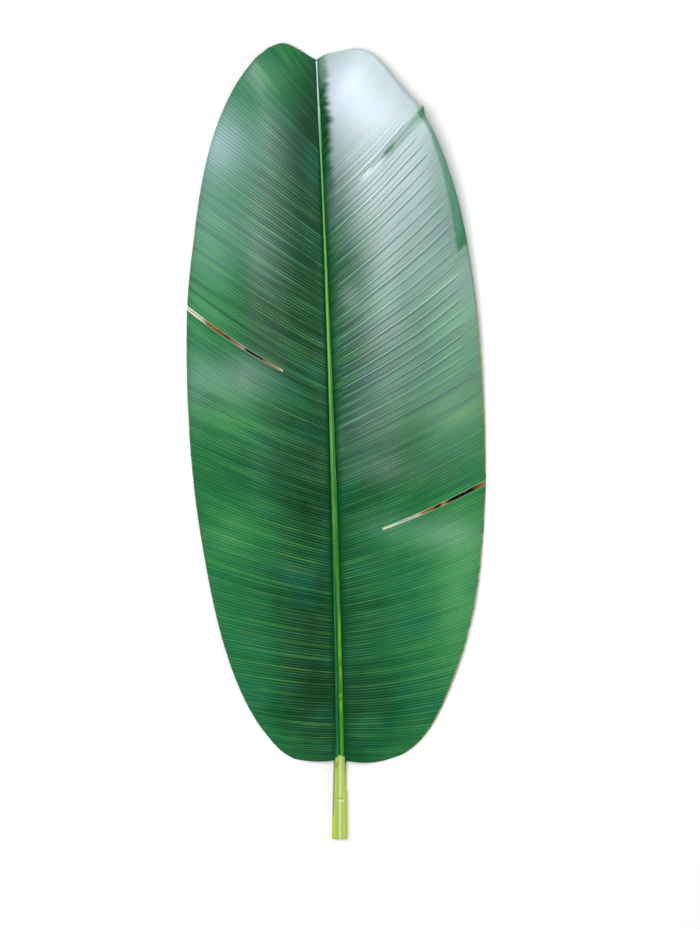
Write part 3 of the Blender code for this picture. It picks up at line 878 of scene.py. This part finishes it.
def paintMidrib():
    paint = Paint("midribFlesh", Specular_IOR_Level=0.12, Coat_Roughness=0.3, Coat_Weight=0.06)
    u, y = paint.mark("acrossShare"), paint.mark("downLeaf")
    upLeaf = (y - form["baseY"]) / (form["tipY"] - form["baseY"])
    streaks = paint.cloud(paint.point(u * 9, y * 0.02, 1.0), detail=3.0)
    patchy = paint.cloud(paint.point(u * 3, y * 0.035, 5.0))
    leftStrand = paint.stops(upLeaf, *strandColours["left"])
    rightStrand = paint.stops(upLeaf, *strandColours["right"])
    strands = paint.mix((u + (patchy - 0.5) * 0.16).step(-0.1, 0.06), leftStrand, rightStrand)
    strands = paint.mix(streaks.step(0.52, 0.75) * 0.4, strands, midribLook["pale"])
    strands = paint.mix(streaks.step(0.46, 0.28) * 0.4, strands, midribLook["dark"])
    lowY, highY = midrib["grooveStretch"]
    # painted shade in the groove along the midrib's lower stretch
    groove = (u - midrib["grooveAt"]).size().step(0.09, 0.02) * y.step(highY, lowY)
    strands = paint.mix(groove * 0.8, strands, midribLook["groove"])
    seam = (u + 0.07 - (patchy - 0.5) * 0.15).size().step(0.09, 0.02) * y.step(-170, -100) * y.step(260, 160)
    seam = seam * streaks.step(0.3, 0.5) * (0.3 + 0.45 * y.step(-60, 60))
    strands = paint.mix(seam, strands, midribLook["seam"])
    blotchy = paint.cloud(paint.point(y * 0.12, u * 2, 9.0))
    sunny = (u - 0.26).size().step(0.22, 0.1) * (y + 205).size().step(62, 30) * blotchy.step(0.42, 0.6)
    strands = paint.mix(sunny * 0.8, strands, midribLook["sunny"])
    # painted shade along both edges of the midrib, beside the blade
    narrowing = 0.02 + y.step(60, 200) * 0.1 + (blotchy - 0.5) * 0.2 + u.step(0, 0.3) * y.step(-60, 60) * 0.08
    flanks = (u.size() + narrowing).step(0.26, 0.40) * y.step(330, 230)
    strands = paint.mix(flanks * 0.85, strands, midribLook["flanks"])
    paint.feed("Base Color", strands)
    paint.feed("Roughness", 0.38 + (patchy - 0.5) * 0.2)
    paint.feed("Normal", paint.bump(streaks, 0.0003, 0.6))
    return paint.material


stalkLook = dict(
    base=colour(146, 176, 62), streaks=colour(188, 206, 118), middle=colour(206, 216, 152),
    left=colour(172, 194, 46), right=colour(166, 188, 44), lines=colour(122, 152, 58),
    lineShares=(-0.17, -0.03, 0.15, 0.26), brown=colour(140, 126, 104),
    notch=colour(128, 158, 40), belowNotch=colour(218, 228, 182), flap=colour(146, 172, 16),
    specks=colour(112, 130, 54), top=colour(150, 190, 80),
    width=11.0, notchMiddle=3.4, flapMiddle=3.6,  # its width, and its middle line at both marks
)


def paintStalk():
    paint = Paint("stalkSkin", Specular_IOR_Level=0.15, Coat_Weight=0.04, Coat_Roughness=0.35)
    u, y = paint.mark("acrossShare"), paint.mark("downLeaf")
    streaks = paint.cloud(paint.point(u * 11, y * 0.008, 2.0), detail=3.0, roughness=0.6)
    base = paint.mix(streaks.step(0.3, 0.7), stalkLook["base"], stalkLook["streaks"])
    base = paint.mix((u - 0.06).size().step(0.2, 0.05) * 0.75, base, stalkLook["middle"])
    base = paint.mix(u.step(-0.22, -0.44) * 0.8, base, stalkLook["left"])
    base = paint.mix(u.step(0.3, 0.46) * 0.7, base, stalkLook["right"])
    lines = sum(((u - share).size().step(0.035, 0.01) for share in stalkLook["lineShares"]), 0.0)
    base = paint.mix(lines * streaks.step(0.3, 0.5) * 0.9, base, stalkLook["lines"])
    edges = u.step(-0.41, -0.49) + u.step(0.44, 0.49) * y.step(-312, -300)
    browning = edges * (y + 310).size().step(40, 22)
    base = paint.mix(browning * streaks.step(0.2, 0.5) * 0.85, base, stalkLook["brown"])
    x = u * stalkLook["width"]
    notchX, notchY = stalk["notch"]
    crossing = (x + stalkLook["notchMiddle"] - notchX).size().step(2.9, 2.3)
    base = paint.mix((y - notchY).size().step(0.9, 0.3) * crossing * 0.8, base, stalkLook["notch"])
    below = (y - notchY + 2.2).size().step(1.6, 0.6) * crossing
    base = paint.mix(below * 0.6, base, stalkLook["belowNotch"])
    flapX, flapY = stalk["flap"]
    flap = (((x + stalkLook["flapMiddle"] - flapX) * 0.8) ** 2 + ((y - flapY) * 0.36) ** 2).step(2.2, 0.9)
    base = paint.mix(flap * 0.85, base, stalkLook["flap"])
    specks = paint.cloud(paint.point(u * 12, y * 0.7, 8.0)).step(0.5, 0.62) * y.step(-304, -291)
    base = paint.mix(specks * 0.75, base, stalkLook["specks"])
    base = paint.mix(y.step(-290.5, -287.5) * 0.5, base, stalkLook["top"])
    paint.feed("Base Color", base)
    paint.feed("Roughness", 0.5 + (streaks - 0.5) * 0.2)
    paint.feed("Normal", paint.bump(streaks, 0.0003, 0.7))
    return paint.material


underside = paintUnderside()
for half, skin in ((leftHalf, paintBlade(-1, "leafLeftSkin")), (rightHalf, paintBlade(1, "leafRightSkin"))):
    half.data.materials.append(skin)
    half.data.materials.append(underside)
midribPiece.data.materials.append(paintMidrib())
stalkPiece.data.materials.append(paintStalk())
for piece in leafPieces:
    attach(piece, "root")
    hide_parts("banana_leaf")
print("materials made")

# The view in millimetres, the lamps and the floor in metres
studio = dict(
    viewCentre=(12.55, -21.0), eyeHeight=2013.0, lens=85.0, sensorWidth=36.0,
    keyAngles=(12.0, 3.0), keyDistance=1.9, keySize=(0.66, 1.2), keyPower=31.0,
    keyColour=(0.92, 0.97, 1.0),
    fillAngles=(-58.0, 10.0), fillDistance=2.2, fillSize=(1.4, 2.0), fillPower=9.0,
    fillColour=(1.0, 0.99, 0.97),
    sky=0.42, skyColour=(0.95, 0.98, 1.0), floorColour=(0.93, 0.90, 0.89), floorHalf=30.0,
)


def makeLamp(name, angles, distance, size, power, tint):
    light = bpy.data.lights.new(name, "AREA")
    light.shape = "RECTANGLE"
    light.size, light.size_y = size
    light.energy = power
    light.color = tint
    lamp = bpy.data.objects.new(name, light)
    left, up = (math.tan(math.radians(angle)) for angle in angles)
    direction = Vector((-left, up, 1)).normalized()
    lamp.location = direction * distance
    lamp.rotation_euler = direction.to_track_quat("Z", "Y").to_euler()
    bpy.context.scene.collection.objects.link(lamp)


def makeStudio():
    bm = bmesh.new()
    bmesh.ops.create_grid(bm, x_segments=1, y_segments=1, size=studio["floorHalf"])
    floor = finishPiece(bm, "floor")
    cloth = Paint("floorPaper", Base_Color=(*studio["floorColour"], 1), Roughness=0.9, Specular_IOR_Level=0.2)
    floor.data.materials.append(cloth.material)

    world = bpy.data.worlds.new("sky")
    bpy.context.scene.world = world
    world.use_nodes = True
    background = world.node_tree.nodes["Background"]
    background.inputs["Color"].default_value = (*studio["skyColour"], 1)
    background.inputs["Strength"].default_value = studio["sky"]
    for name in ("key", "fill"):
        items = ("Angles", "Distance", "Size", "Power", "Colour")
        makeLamp(name + "Light", *(studio[name + item] for item in items))

    camera = bpy.data.cameras.new("camera")
    camera.lens = studio["lens"]
    camera.sensor_width = studio["sensorWidth"]
    eye = bpy.data.objects.new("camera", camera)
    eye.location = Vector((*studio["viewCentre"], studio["eyeHeight"])) * mm
    bpy.context.scene.collection.objects.link(eye)
    bpy.context.scene.camera = eye
    bpy.context.scene.view_settings.view_transform = "Standard"


makeStudio()
print("studio made")
